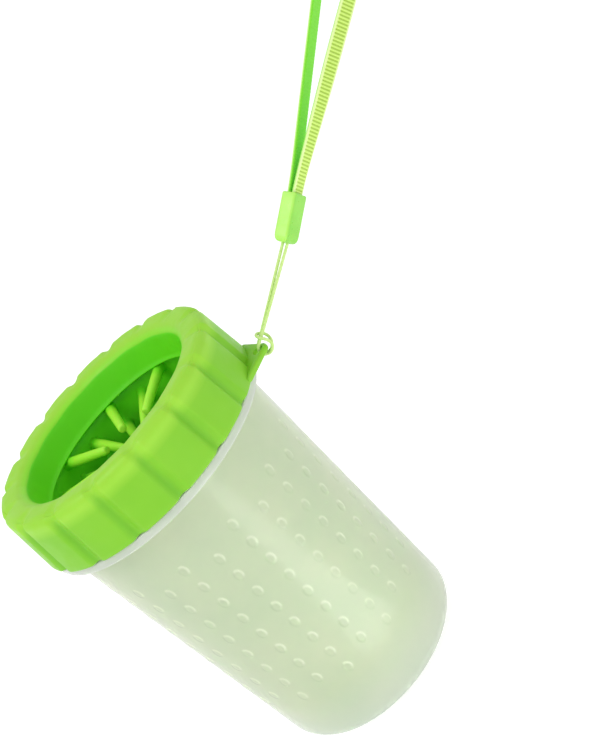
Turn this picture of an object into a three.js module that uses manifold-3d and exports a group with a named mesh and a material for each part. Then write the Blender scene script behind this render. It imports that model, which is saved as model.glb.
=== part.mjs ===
// Paw washer cup: a translucent cup, a drop-in sleeve of soft fingers, a lobed
// twist-lock collar and a wrist lanyard. Millimetres, +Z up. The cup stands on
// z = 0 with its axis on Z, and the lanyard's tab points along +X.
import * as THREE from 'three';
import { mergeVertices } from 'three/addons/utils/BufferGeometryUtils.js';
import Module from 'manifold-3d';

const wasm = await Module();
wasm.setup();

// ---- driving dimensions ----
const TOTAL_HEIGHT = 145;
const TOUCHING_GAP = 0.3;
const ROUND_SEGMENTS = 48;

const CUP_BASE_RADIUS = 39.3;
const CUP_TOP_RADIUS = 44.1;
const CUP_WALL = 1.8;
const CUP_FLOOR = 2.2;
const CUP_BASE_ROUND = 7.4;
const RIM_Z = 118;
const RIM_THICKNESS = 3;
const RIM_RADIUS = 49;
const RIM_FLARE_Z = 116.6;
const RIM_EDGE_Z = 117.8;
const NECK_RADIUS = 44.6;
const NECK_BORE_RADIUS = 42.4;
const NECK_TOP_Z = 138.5;

const COLLAR_RADIUS = 50;
const COLLAR_TAPER = 0.7;
const COLLAR_ROUND = 6.5;
const COLLAR_BORE_RADIUS = 46.8;
const COLLAR_BOTTOM_Z = RIM_Z + RIM_THICKNESS + TOUCHING_GAP;
const PLATE_UNDERSIDE_Z = 140.9;
const MOUTH_RADIUS = 37;
const MOUTH_LIP_Z = TOTAL_HEIGHT - 3;
const SKIRT_END_RADIUS = 35.25;
const SKIRT_END_Z = TOTAL_HEIGHT - 13.5;
const SKIRT_WALL = 1.6;

const LOBE_COUNT = 16;
const GROOVE_WIDTH = 4.6;
const GROOVE_DEPTH = 1.4;
const FIRST_GROOVE_DEG = -3.5;

const LUG_COUNT = 4;
const LUG_SPAN_DEG = 24;
const LUG_HEIGHT = 2.4;
const LUG_REACH = 1.6;
const NECK_LUG_Z = 130;
const COLLAR_LUG_Z = NECK_LUG_Z - LUG_HEIGHT - 0.4;
const COLLAR_LUG_OFFSET_DEG = 45;

const TAB_THICKNESS = 2;
const TAB_HOLE_X = 54.2;
const TAB_HOLE_RADIUS = 1.9;
const TAB_TIP_RADIUS = 3.6;
const TAB_ROOT_X = 47.2;
const TAB_SHOULDER = [51.4, 9.4];
const TAB_FOOT = [48.6, 13.2];

const SKIN_THICKNESS = 0.6;
const SLEEVE_WALL = 1.2;
const SLEEVE_TOP_RADIUS = 39;
const SLEEVE_NECK_RADIUS = 38.2;
const SLEEVE_END_RADIUS = 34.2;
const SLEEVE_END_Z = 12;
const FLANGE_RADIUS = 44.4;
const FLANGE_THICKNESS = 1.8;

const FINGERS_PER_RING = 9;
const RING_COUNT = 25;
const RING_PITCH = 4.6;
const FIRST_RING_Z = 129.6;
const FIRST_FINGER_DEG = 26;
const FINGER_TIP_CIRCLE = 14.6;
const FINGER_ROOT_RADIUS = 1.7;
const FINGER_TIP_RADIUS = 1.4;
const FINGER_DROOP = 1.5;
const FINGER_SIDES = 4;

const LANYARD_AZIMUTH = THREE.MathUtils.degToRad(28.5);
const LANYARD_ELEVATION = THREE.MathUtils.degToRad(30);
const LANYARD_ROLL = THREE.MathUtils.degToRad(33.4);
const CORD_DIAMETER = 1.1;
const CORD_SIDES = 8;
const CORD_STEPS = 80;
const CORD_REACH = 36;
const STRAND_SPREAD = 0.85;
const CLAMP_LENGTH = 15.4;
const CLAMP_WIDTH = 8.2;
const CLAMP_THICKNESS = 5.6;
const CLAMP_CORNER = 1.1;
const CLAMP_NOSE = 1;
const WEBBING_WIDTH = 6;
const WEBBING_THICKNESS = 1.3;
const WEBBING_REACH = 121;
const WEBBING_STEPS = 60;
const WEBBING_TWIST = THREE.MathUtils.degToRad(-24);
const LOOP_END_RADIUS = 9;

// ---- materials ----
const plastic = (color, roughness) =>
  new THREE.MeshStandardMaterial({ color, roughness, metalness: 0 });
const frosted = new THREE.MeshStandardMaterial({
  color: 0xd6e6c4, roughness: 0.45, metalness: 0, transparent: true, opacity: 0.6,
});
const limeRubber = plastic(0x96da41, 0.55);
const greenRubber = plastic(0x6fcf2a, 0.55);
const limeCord = plastic(0xcde990, 0.8);
const limeClamp = plastic(0xb4ee66, 0.4);
const limeWebbing = plastic(0x9ade52, 0.9);

// ---- geometry helpers ----
function closedMesh(geometry) {
  const bare = geometry.index ? geometry.toNonIndexed() : geometry.clone();
  bare.deleteAttribute('normal');
  bare.deleteAttribute('uv');
  const welded = mergeVertices(bare, 1e-4);
  const corners = Array.from(welded.index.array);
  const kept = [];
  for (let i = 0; i < corners.length; i += 3) {
    const [a, b, c] = corners.slice(i, i + 3);
    if (a !== b && b !== c && c !== a) kept.push(a, b, c);
  }
  welded.setIndex(kept);
  return welded;
}

function solid(geometry) {
  const mesh = closedMesh(geometry);
  return new wasm.Manifold(new wasm.Mesh({
    numProp: 3,
    vertProperties: new Float32Array(mesh.attributes.position.array),
    triVerts: new Uint32Array(mesh.index.array),
  }));
}

function surface(manifold) {
  const mesh = manifold.getMesh();
  const geometry = new THREE.BufferGeometry();
  geometry.setAttribute('position', new THREE.BufferAttribute(mesh.vertProperties, 3));
  geometry.setIndex(new THREE.BufferAttribute(mesh.triVerts, 1));
  geometry.computeVertexNormals();
  return geometry;
}

// A profile of [radius, height] points turned about Z.
function turned(profile, segments = ROUND_SEGMENTS) {
  const points = profile.map(([r, z]) => new THREE.Vector2(r, z));
  return new THREE.LatheGeometry(points, segments).rotateX(Math.PI / 2);
}

// Points on an arc in the profile plane, angles in degrees.
function arc(centreR, centreZ, radius, fromDeg, toDeg, steps) {
  const points = [];
  for (let i = 0; i <= steps; i += 1) {
    const angle = THREE.MathUtils.degToRad(fromDeg + (toDeg - fromDeg) * i / steps);
    points.push([centreR + radius * Math.cos(angle), centreZ + radius * Math.sin(angle)]);
  }
  return points;
}

// A block bounded by two radii, centred on an azimuth.
function sector(innerRadius, outerRadius, azimuthDeg, spanDeg, lowZ, height) {
  const from = THREE.MathUtils.degToRad(azimuthDeg - spanDeg / 2);
  const to = THREE.MathUtils.degToRad(azimuthDeg + spanDeg / 2);
  const shape = new THREE.Shape();
  shape.absarc(0, 0, outerRadius, from, to, false);
  shape.absarc(0, 0, innerRadius, to, from, true);
  return new THREE.ExtrudeGeometry(shape, { depth: height, bevelEnabled: false, curveSegments: 6 })
    .translate(0, 0, lowZ);
}

function named(name, geometry, material) {
  const mesh = new THREE.Mesh(geometry, material);
  mesh.name = name;
  return mesh;
}

// ---- cup: cone, rim flange, neck and four bayonet lugs ----
const cupRadius = (z) => CUP_BASE_RADIUS + (CUP_TOP_RADIUS - CUP_BASE_RADIUS) * z / RIM_Z;

function makeCup() {
  const roundR = cupRadius(CUP_BASE_ROUND) - CUP_BASE_ROUND;
  const innerRound = CUP_BASE_ROUND - CUP_WALL;
  const rimTopZ = RIM_Z + RIM_THICKNESS;
  const profile = [
    [0, 0],
    ...arc(roundR, CUP_BASE_ROUND, CUP_BASE_ROUND, -90, 0, 5),
    [cupRadius(RIM_FLARE_Z), RIM_FLARE_Z],
    [RIM_RADIUS - 0.4, RIM_EDGE_Z - 0.3],
    [RIM_RADIUS, RIM_EDGE_Z + 0.2],
    [RIM_RADIUS, rimTopZ],
    [NECK_RADIUS, rimTopZ],
    [NECK_RADIUS, NECK_TOP_Z],
    [NECK_BORE_RADIUS, NECK_TOP_Z],
    [CUP_TOP_RADIUS - CUP_WALL, RIM_Z],
    ...arc(roundR, CUP_FLOOR + innerRound, innerRound, 0, -90, 4),
    [0, CUP_FLOOR],
  ];
  let cup = solid(turned(profile));
  for (let i = 0; i < LUG_COUNT; i += 1) {
    const azimuth = 360 * i / LUG_COUNT;
    const reach = NECK_RADIUS + LUG_REACH;
    const lug = sector(NECK_RADIUS - 0.5, reach, azimuth, LUG_SPAN_DEG, NECK_LUG_Z, LUG_HEIGHT);
    cup = cup.add(solid(lug));
  }
  return named('cup', surface(cup), frosted);
}

// ---- bristle insert: a flanged sleeve, and the finger-bearing skin inside it ----
function skinRadius(z) {
  const share = (z - SLEEVE_END_Z) / (SKIRT_END_Z - SLEEVE_END_Z);
  return SLEEVE_END_RADIUS + (SLEEVE_NECK_RADIUS - SLEEVE_END_RADIUS) * share;
}

function makeSleeve() {
  const flangeZ = NECK_TOP_Z + TOUCHING_GAP;
  const flangeTopZ = flangeZ + FLANGE_THICKNESS;
  const inside = SKIN_THICKNESS + TOUCHING_GAP;
  const outside = inside + SLEEVE_WALL;
  const profile = [
    [SLEEVE_END_RADIUS + inside, SLEEVE_END_Z],
    [SLEEVE_END_RADIUS + outside, SLEEVE_END_Z],
    [SLEEVE_NECK_RADIUS + outside, SKIRT_END_Z],
    [SLEEVE_TOP_RADIUS + outside - inside, flangeZ],
    [FLANGE_RADIUS, flangeZ],
    [FLANGE_RADIUS, flangeTopZ],
    [SLEEVE_TOP_RADIUS, flangeTopZ],
    [SLEEVE_NECK_RADIUS + inside, SKIRT_END_Z],
    [SLEEVE_END_RADIUS + inside, SLEEVE_END_Z],
  ];
  return named('bristle_sleeve', turned(profile), greenRubber);
}

// Odd rings are turned by half a step, so their fingers point between the others'.
function makeFinger(ring, index) {
  const stagger = ring % 2 === 0 ? 0 : 0.5;
  const azimuth = THREE.MathUtils.degToRad(FIRST_FINGER_DEG)
    + 2 * Math.PI * (index + stagger) / FINGERS_PER_RING;
  const rootZ = FIRST_RING_Z - RING_PITCH * ring;
  const rootR = skinRadius(rootZ) + SKIN_THICKNESS / 2;
  const length = rootR - FINGER_TIP_CIRCLE;
  const finger = new THREE.CylinderGeometry(
    FINGER_TIP_RADIUS, FINGER_ROOT_RADIUS, length, FINGER_SIDES, 1,
  );
  return finger
    .translate(0, length / 2, 0)
    .rotateZ(Math.PI / 2 + Math.asin(FINGER_DROOP / length))
    .rotateX(Math.PI / 2)
    .translate(rootR, 0, rootZ)
    .rotateZ(azimuth);
}

function makeFingers() {
  const topZ = SKIRT_END_Z - TOUCHING_GAP;
  const profile = [
    [SLEEVE_END_RADIUS, SLEEVE_END_Z],
    [SLEEVE_END_RADIUS + SKIN_THICKNESS, SLEEVE_END_Z],
    [skinRadius(topZ) + SKIN_THICKNESS, topZ],
    [skinRadius(topZ), topZ],
    [SLEEVE_END_RADIUS, SLEEVE_END_Z],
  ];
  let fingers = solid(turned(profile));
  for (let ring = 0; ring < RING_COUNT; ring += 1) {
    for (let index = 0; index < FINGERS_PER_RING; index += 1) {
      fingers = fingers.add(solid(makeFinger(ring, index)));
    }
  }
  return named('bristle_fingers', surface(fingers), greenRubber);
}

// ---- collar: lobed grip ring, mouth skirt, bayonet lugs and lanyard tab ----
const ROUND_CENTRE_R = COLLAR_RADIUS - COLLAR_TAPER - COLLAR_ROUND;
const ROUND_CENTRE_Z = TOTAL_HEIGHT - COLLAR_ROUND;

function collarRing() {
  const profile = [
    [COLLAR_RADIUS, COLLAR_BOTTOM_Z],
    ...arc(ROUND_CENTRE_R, ROUND_CENTRE_Z, COLLAR_ROUND, 0, 90, 5),
    [MOUTH_RADIUS + 2, MOUTH_LIP_Z + 1.6],
    [MOUTH_RADIUS + 0.4, MOUTH_LIP_Z + 0.7],
    [MOUTH_RADIUS, MOUTH_LIP_Z],
    [SKIRT_END_RADIUS, SKIRT_END_Z],
    [SKIRT_END_RADIUS + SKIRT_WALL, SKIRT_END_Z],
    [MOUTH_RADIUS + SKIRT_WALL - 0.1, PLATE_UNDERSIDE_Z],
    [COLLAR_BORE_RADIUS, PLATE_UNDERSIDE_Z],
    [COLLAR_BORE_RADIUS, COLLAR_BOTTOM_Z],
    [COLLAR_RADIUS, COLLAR_BOTTOM_Z],
  ];
  return solid(turned(profile));
}

// A groove cutter: the space outside the sunk outline, as wide as the groove.
function grooveCutter(azimuthDeg) {
  const outside = COLLAR_RADIUS + 2;
  const above = TOTAL_HEIGHT + 2;
  const below = COLLAR_BOTTOM_Z - 1;
  const sunk = [
    [COLLAR_RADIUS - GROOVE_DEPTH, below],
    ...arc(ROUND_CENTRE_R, ROUND_CENTRE_Z, COLLAR_ROUND - GROOVE_DEPTH, 0, 60, 4),
    [ROUND_CENTRE_R - 1, TOTAL_HEIGHT + 0.1],
  ];
  const shape = new THREE.Shape([
    ...sunk.map(([r, z]) => new THREE.Vector2(r, z)),
    new THREE.Vector2(ROUND_CENTRE_R - 1, above),
    new THREE.Vector2(outside, above),
    new THREE.Vector2(outside, below),
  ]);
  return new THREE.ExtrudeGeometry(shape, { depth: GROOVE_WIDTH, bevelEnabled: false })
    .translate(0, 0, -GROOVE_WIDTH / 2)
    .rotateX(Math.PI / 2)
    .rotateZ(THREE.MathUtils.degToRad(azimuthDeg));
}

function lanyardTab() {
  const shape = new THREE.Shape();
  const tangent = Math.PI / 3.2;
  shape.moveTo(TAB_ROOT_X, -TAB_FOOT[1]);
  shape.lineTo(TAB_FOOT[0], -TAB_FOOT[1]);
  shape.lineTo(TAB_SHOULDER[0], -TAB_SHOULDER[1]);
  shape.absarc(TAB_HOLE_X, 0, TAB_TIP_RADIUS, -tangent, tangent, false);
  shape.lineTo(TAB_SHOULDER[0], TAB_SHOULDER[1]);
  shape.lineTo(TAB_FOOT[0], TAB_FOOT[1]);
  shape.lineTo(TAB_ROOT_X, TAB_FOOT[1]);
  shape.closePath();
  const hole = new THREE.Path().absarc(TAB_HOLE_X, 0, TAB_HOLE_RADIUS, 0, 2 * Math.PI, true);
  shape.holes.push(hole);
  return new THREE.ExtrudeGeometry(shape, {
    depth: TAB_THICKNESS, bevelEnabled: false, curveSegments: 8,
  }).translate(0, 0, COLLAR_BOTTOM_Z);
}

function makeCollar() {
  let collar = collarRing();
  for (let i = 0; i < LOBE_COUNT; i += 1) {
    const azimuth = FIRST_GROOVE_DEG + 360 * i / LOBE_COUNT;
    collar = collar.subtract(solid(grooveCutter(azimuth)));
  }
  for (let i = 0; i < LUG_COUNT; i += 1) {
    const azimuth = COLLAR_LUG_OFFSET_DEG + 360 * i / LUG_COUNT;
    const inner = NECK_RADIUS + 0.4;
    const outer = COLLAR_BORE_RADIUS + 0.5;
    const lug = sector(inner, outer, azimuth, LUG_SPAN_DEG, COLLAR_LUG_Z, LUG_HEIGHT);
    collar = collar.add(solid(lug));
  }
  collar = collar.add(solid(lanyardTab()));
  return named('collar', surface(collar), limeRubber);
}

// ---- lanyard, laid out along its own direction from the tab's outer rim ----
const PIVOT = new THREE.Vector3(
  TAB_HOLE_X + (TAB_HOLE_RADIUS + TAB_TIP_RADIUS) / 2, 0, COLLAR_BOTTOM_Z + TAB_THICKNESS / 2,
);
const along = new THREE.Vector3(
  Math.cos(LANYARD_ELEVATION) * Math.cos(LANYARD_AZIMUTH),
  Math.cos(LANYARD_ELEVATION) * Math.sin(LANYARD_AZIMUTH),
  Math.sin(LANYARD_ELEVATION),
);
const level = new THREE.Vector3(-Math.sin(LANYARD_AZIMUTH), Math.cos(LANYARD_AZIMUTH), 0);
const upward = new THREE.Vector3().crossVectors(along, level);
const flatNormal = level.clone().multiplyScalar(-Math.cos(LANYARD_ROLL))
  .addScaledVector(upward, -Math.sin(LANYARD_ROLL));
const widthWay = new THREE.Vector3().crossVectors(flatNormal, along);

// Local x lies along flatNormal, local y along the lanyard, local z along its width.
function placeOnLanyard(geometry, distance) {
  const origin = PIVOT.clone().addScaledVector(along, distance);
  const frame = new THREE.Matrix4().makeBasis(flatNormal, along, widthWay).setPosition(origin);
  return geometry.applyMatrix4(frame);
}

// The girth hitch about the rim of the tab's hole, one half of it, from the strand
// to the middle of the crossing band: [towards the clamp, above the strands, aside].
const HITCH = [
  [0, 2.35, 0.64], [-1.68, 1.67, 0.64], [-2.38, 0, 0.64], [-1.68, -1.67, 0.66], [0, -2.34, 0.85],
  [1.7, -1.98, 1.45], [2.82, -0.7, 2.02], [3.22, 0.9, 2.24], [3.17, 2.42, 2], [3.02, 3.44, 1.12],
];
const BAND_MIDDLE = [2.97, 3.8, 0];

// The strands lean sideways as they leave the tab, and the band leans with them.
function hitchPoint([towards, above, aside]) {
  const run = Math.hypot(along.x, along.z);
  const lean = Math.max(towards, 0) * along.y / run;
  return PIVOT.clone().add(new THREE.Vector3(
    (towards * along.x - above * along.z) / run,
    aside + lean,
    (towards * along.z + above * along.x) / run,
  ));
}

// One strand from the clamp's lower end to the start of the hitch.
function strand(spread, hitchStart) {
  const top = PIVOT.clone().addScaledVector(along, CORD_REACH).add(spread);
  return [0, 0.3, 0.6, 0.85].map((share) => top.clone().lerp(hitchStart, share));
}

// The cord runs from the clamp over the rim and down through the hole, crosses both
// strands as a band, and goes back the same way on the other side.
function makeCordLoop() {
  const spread = level.clone().add(upward).normalize().multiplyScalar(STRAND_SPREAD);
  const half = HITCH.map(hitchPoint);
  const otherHalf = HITCH.map(([p, q, y]) => hitchPoint([p, q, -y])).reverse();
  const points = [
    ...strand(spread, half[0]),
    ...half,
    hitchPoint(BAND_MIDDLE),
    ...otherHalf,
    ...strand(spread.clone().negate(), otherHalf[otherHalf.length - 1]).reverse(),
  ];
  const path = new THREE.CatmullRomCurve3(points, false, 'centripetal');
  const section = new THREE.Shape().absarc(0, 0, CORD_DIAMETER / 2, 0, 2 * Math.PI, false);
  const cord = new THREE.ExtrudeGeometry(section, {
    steps: CORD_STEPS, extrudePath: path, curveSegments: CORD_SIDES / 2,
  });
  return named('cord_loop', surface(solid(cord)), limeCord);
}

function makeClamp() {
  const halfT = CLAMP_THICKNESS / 2 - CLAMP_CORNER;
  const halfW = CLAMP_WIDTH / 2 - CLAMP_CORNER;
  const shape = new THREE.Shape();
  shape.absarc(halfT, halfW, CLAMP_CORNER, 0, Math.PI / 2, false);
  shape.absarc(-halfT, halfW, CLAMP_CORNER, Math.PI / 2, Math.PI, false);
  shape.absarc(-halfT, -halfW, CLAMP_CORNER, Math.PI, 1.5 * Math.PI, false);
  shape.absarc(halfT, -halfW, CLAMP_CORNER, 1.5 * Math.PI, 2 * Math.PI, false);
  const noseBevel = {
    depth: CLAMP_LENGTH, bevelThickness: CLAMP_NOSE, bevelSize: CLAMP_NOSE, bevelOffset: -CLAMP_NOSE,
    bevelSegments: 3, curveSegments: 4,
  };
  const bar = new THREE.ExtrudeGeometry(shape, noseBevel);
  const trim = new THREE.BoxGeometry(20, 20, 20).translate(0, 0, CLAMP_LENGTH - CLAMP_NOSE + 10);
  const body = surface(solid(bar).subtract(solid(trim))).translate(0, 0, CLAMP_NOSE);
  body.rotateX(-Math.PI / 2);
  return named('cord_clamp', placeOnLanyard(body, CORD_REACH + TOUCHING_GAP), limeClamp);
}

// Half of the webbing's loop, from the clamp to the far end, as [across, along].
function webbingPath() {
  const startX = WEBBING_THICKNESS / 2 + 0.15;
  const endY = WEBBING_REACH - LOOP_END_RADIUS;
  const right = [[startX, 0], [startX + 0.4, 8], [3.4, 34], [6.2, 67], [8.5, 94]];
  const turn = [];
  for (let i = 0; i <= 8; i += 1) {
    const angle = Math.PI * i / 8;
    turn.push([LOOP_END_RADIUS * Math.cos(angle), endY + LOOP_END_RADIUS * Math.sin(angle)]);
  }
  const left = right.map(([x, y]) => [-x, y]).reverse();
  return [...right, ...turn, ...left].map(([x, y]) => new THREE.Vector3(x, y, 0));
}

// The near leg turns its outer face up between the clamp and the far end.
function webbingTwist(share) {
  const rise = THREE.MathUtils.smoothstep(share, 0, 0.22);
  const fall = 1 - THREE.MathUtils.smoothstep(share, 0.4, 0.6);
  return WEBBING_TWIST * rise * fall;
}

function makeWebbing() {
  const path = new THREE.CatmullRomCurve3(webbingPath(), false, 'centripetal');
  const halfT = WEBBING_THICKNESS / 2;
  const halfW = WEBBING_WIDTH / 2;
  const section = [[halfT, -halfW], [halfT, halfW], [-halfT, halfW], [-halfT, -halfW]];
  const corners = [];
  for (let i = 0; i <= WEBBING_STEPS; i += 1) {
    const share = i / WEBBING_STEPS;
    const middle = path.getPointAt(share);
    const tangent = path.getTangentAt(share);
    const outward = new THREE.Vector3(tangent.y, -tangent.x, 0)
      .applyAxisAngle(tangent, webbingTwist(share));
    const sideways = new THREE.Vector3().crossVectors(outward, tangent);
    for (const [out, side] of section) {
      const corner = middle.clone().addScaledVector(outward, out).addScaledVector(sideways, side);
      corners.push(...corner.toArray());
    }
  }
  const triangles = [0, 1, 2, 0, 2, 3];
  for (let i = 0; i < WEBBING_STEPS; i += 1) {
    for (let j = 0; j < 4; j += 1) {
      const here = 4 * i + j;
      const next = 4 * i + (j + 1) % 4;
      triangles.push(here, next + 4, next, here, here + 4, next + 4);
    }
  }
  const last = 4 * WEBBING_STEPS;
  triangles.push(last, last + 2, last + 1, last, last + 3, last + 2);
  const band = new THREE.BufferGeometry();
  band.setAttribute('position', new THREE.Float32BufferAttribute(corners, 3));
  band.setIndex(triangles);
  const distance = CORD_REACH + CLAMP_LENGTH + 2 * TOUCHING_GAP;
  return named('wrist_webbing', placeOnLanyard(surface(solid(band)), distance), limeWebbing);
}

const pawWasher = new THREE.Group();
pawWasher.add(makeCup(), makeSleeve(), makeFingers(), makeCollar());
pawWasher.add(makeCordLoop(), makeClamp(), makeWebbing());

export default pawWasher;
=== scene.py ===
"""Looks for a paw washer cup: frosted cup, finger insert, lobed collar and wrist lanyard.

Metres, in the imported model's own frame: +Z up, the lanyard's tab towards +X.
Sizes below are in millimetres and are turned into metres where a mesh is made.
"""
import math

import bpy
import numpy as np
from mathutils import Matrix, Vector


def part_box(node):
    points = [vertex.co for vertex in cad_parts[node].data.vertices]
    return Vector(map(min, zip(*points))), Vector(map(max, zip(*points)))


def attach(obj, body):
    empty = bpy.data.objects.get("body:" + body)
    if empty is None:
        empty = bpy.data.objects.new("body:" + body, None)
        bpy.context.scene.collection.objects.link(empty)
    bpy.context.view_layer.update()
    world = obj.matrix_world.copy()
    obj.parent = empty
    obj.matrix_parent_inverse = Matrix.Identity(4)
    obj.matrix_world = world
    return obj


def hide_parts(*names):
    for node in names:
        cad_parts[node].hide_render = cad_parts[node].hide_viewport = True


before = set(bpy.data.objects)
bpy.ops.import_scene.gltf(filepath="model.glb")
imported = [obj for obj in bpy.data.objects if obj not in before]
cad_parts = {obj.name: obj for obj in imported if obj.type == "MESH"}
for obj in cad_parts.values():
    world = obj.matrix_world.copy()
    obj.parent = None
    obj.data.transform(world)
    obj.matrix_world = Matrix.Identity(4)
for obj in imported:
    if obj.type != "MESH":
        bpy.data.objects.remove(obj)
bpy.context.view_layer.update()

MM = 0.001

# ---- driving sizes, in millimetres ----
CUP_BASE_RADIUS = 39.3
CUP_TOP_RADIUS = 44.1
CUP_WALL = 1.8
CUP_FLOOR = 2.2
CUP_BASE_ROUND = 7.4
RIM_Z = 118.0
RIM_THICKNESS = 3.0
RIM_FLARE_Z = 116.6
RIM_EDGE_Z = 117.8
RIM_TOP_Z = RIM_Z + RIM_THICKNESS
NECK_RADIUS = 44.6
NECK_BORE_RADIUS = 42.4
RIM_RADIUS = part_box("cup")[1].x / MM
NECK_TOP_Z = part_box("cup")[1].z / MM

DOT_COLUMNS = 12
DOT_ROWS = 8
DOT_LEFT_DEG, DOT_LEFT_Z, DOT_LEFT_PITCH = -7.3, 32.8, 9.4
DOT_RIGHT_DEG, DOT_RIGHT_Z, DOT_RIGHT_PITCH = 7.7, 28.5, 9.3
DOT_HALF_WIDTH = 1.7
DOT_HALF_HEIGHT = 2.5
DOT_RISE = 0.22
DOT_EDGE = 0.86
DOTS_LOW_Z = DOT_RIGHT_Z - DOT_HALF_HEIGHT - 0.4
DOTS_HIGH_Z = DOT_LEFT_Z + DOT_LEFT_PITCH * (DOT_ROWS - 1) + DOT_HALF_HEIGHT + 0.4
# Sides of each raised dot's edge that get a painted highlight and a painted shade, as (across, up).
DOT_PAINTED_HIGHLIGHT_SIDE = (0.83, 0.56)
DOT_PAINTED_SHADE_SIDE = (-0.83, -0.56)

TOTAL_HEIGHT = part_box("collar")[1].z / MM
COLLAR_BOTTOM_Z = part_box("collar")[0].z / MM
COLLAR_RADIUS = 50.0
COLLAR_TAPER = 1.3
COLLAR_ROUND = 3.6
ROUND_CENTRE_R = COLLAR_RADIUS - COLLAR_TAPER - COLLAR_ROUND
ROUND_CENTRE_Z = TOTAL_HEIGHT - COLLAR_ROUND
COLLAR_BORE_RADIUS = 46.8
PLATE_UNDERSIDE_Z = 140.9
MOUTH_RADIUS = 37.0
MOUTH_LIP_Z = TOTAL_HEIGHT - 3.0
SKIRT_END_RADIUS = 35.25
SKIRT_END_Z = TOTAL_HEIGHT - 13.5
SKIRT_WALL = 1.6
LOBE_COUNT = 16
GROOVE_WIDTH = 4.6
GROOVE_DEPTH = 1.4
FIRST_GROOVE_DEG = -3.5

LUG_COUNT = 4
LUG_HALF_SPAN_DEG = 12.0
LUG_HEIGHT = 2.4
LUG_REACH = 1.6
NECK_LUG_Z = 130.0
COLLAR_LUG_Z = NECK_LUG_Z - LUG_HEIGHT - 0.4
COLLAR_LUG_OFFSET_DEG = 45.0

TAB_THICKNESS = 2.0
TAB_HOLE_X = 54.2
TAB_HOLE_RADIUS = 1.9
TAB_TIP_RADIUS = 3.6
TAB_ROOT_X = 47.2
TAB_SHOULDER = (51.4, 9.4)
TAB_FOOT = (48.6, 13.2)

SLEEVE_WALL = 2.1
SLEEVE_TOP_RADIUS = 39.0
SLEEVE_NECK_RADIUS = 38.2
SLEEVE_END_RADIUS = 34.2
SLEEVE_END_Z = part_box("bristle_sleeve")[0].z / MM
FLANGE_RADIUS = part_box("bristle_sleeve")[1].x / MM
FLANGE_TOP_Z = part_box("bristle_sleeve")[1].z / MM
FLANGE_THICKNESS = 1.8

FINGERS_PER_RING = 9
RING_COUNT = 25
RING_PITCH = 4.6
FIRST_RING_Z = 129.6
FIRST_FINGER_DEG = 26.0
FINGER_TIP_CIRCLE = 14.6
FINGER_ROOT_RADIUS = 2.1
FINGER_TIP_RADIUS = 1.6
FINGER_TIP_ROUND = 0.75
FINGER_SIDES = 12
FINGER_DROOP = 1.5

LANYARD_AZIMUTH = math.radians(28.5)
LANYARD_ELEVATION = math.radians(30)
LANYARD_ROLL = math.radians(33.4)
CORD_DIAMETER = 1.1
CORD_SIDES = 24
BRAID_PITCH = 2.0
BRAID_DEPTH = 0.09
CORD_REACH = 36.0
STRAND_SPREAD = 0.85
CLAMP_GAP = 0.3
CLAMP_LENGTH = 15.4
CLAMP_WIDTH = 8.2
CLAMP_THICKNESS = 5.6
CLAMP_CORNER = 1.1
WEBBING_WIDTH = 6.0
WEBBING_THICKNESS = 1.3
WEBBING_REACH = 121.0
LOOP_END_RADIUS = 9.0
WEBBING_TWIST = math.radians(-24)
RIB_PITCH = 1.25


# ---- camera, at the photograph's viewing angle ----
def make_camera():
    camera = bpy.data.objects.new("camera", bpy.data.cameras.new("camera"))
    bpy.context.scene.collection.objects.link(camera)
    place = Vector((0.17346, -0.44036, 0.29925))
    target = Vector((0.0562, 0.0145, 0.1017))
    roll = math.radians(-46.24)
    level = (target - place).to_track_quat("-Z", "Y").to_matrix().to_4x4()
    camera.matrix_world = Matrix.Translation(place) @ level @ Matrix.Rotation(roll, 4, "Z")
    camera.data.lens = 70.83
    camera.data.clip_start = 0.01
    camera.data.clip_end = 10
    bpy.context.scene.camera = camera


make_camera()


# ---- mesh helpers ----
def new_object(name, points, faces):
    mesh = bpy.data.meshes.new(name)
    mesh.from_pydata((np.asarray(points, float) * MM).tolist(), [], faces)
    mesh.validate()
    mesh.shade_smooth()
    made = bpy.data.objects.new(name, mesh)
    bpy.context.scene.collection.objects.link(made)
    return made


def strip_faces(rows, columns, wrap_rows=False):
    """Quads between neighbouring rows of a grid of points, facing out for rows that run upwards."""
    faces = []
    for i in range(rows if wrap_rows else rows - 1):
        here = i * columns
        above = (i + 1) % rows * columns
        for j in range(columns):
            k = (j + 1) % columns
            faces.append((here + j, here + k, above + k, above + j))
    return faces


def fan_faces(centre, ring, flip=False):
    """Triangles from a centre point to a closed ring of point numbers."""
    faces = []
    for a, b in zip(ring, ring[1:] + ring[:1]):
        faces.append((centre, b, a) if flip else (centre, a, b))
    return faces


def joined(*parts):
    """Several (points, faces) meshes as one."""
    points = []
    faces = []
    start = 0
    for part_points, part_faces in parts:
        points.append(np.asarray(part_points, float))
        faces += [tuple(n + start for n in face) for face in part_faces]
        start += len(part_points)
    return np.concatenate(points), faces


def arc(centre_r, centre_z, radius, from_deg, to_deg, steps):
    angles = np.radians(np.linspace(from_deg, to_deg, steps + 1))
    return [(centre_r + radius * math.cos(a), centre_z + radius * math.sin(a)) for a in angles]


def resampled(profile, spacing):
    """A [radius, height] profile with extra points, so that no step is longer than the spacing."""
    points = [profile[0]]
    for a, b in zip(profile, profile[1:]):
        steps = max(1, math.ceil(math.dist(a, b) / spacing))
        for i in range(1, steps + 1):
            share = i / steps
            points.append((a[0] + (b[0] - a[0]) * share, a[1] + (b[1] - a[1]) * share))
    return points


def smoothstep(low, high, value):
    t = np.clip((value - low) / (high - low), 0, 1)
    return t * t * (3 - 2 * t)


def around(azimuths, radius, height):
    """Points on a ring, from arrays of azimuth, radius and height."""
    radius = np.broadcast_to(radius, azimuths.shape)
    height = np.broadcast_to(height, azimuths.shape)
    return np.stack([radius * np.cos(azimuths), radius * np.sin(azimuths), height], axis=-1)


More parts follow.
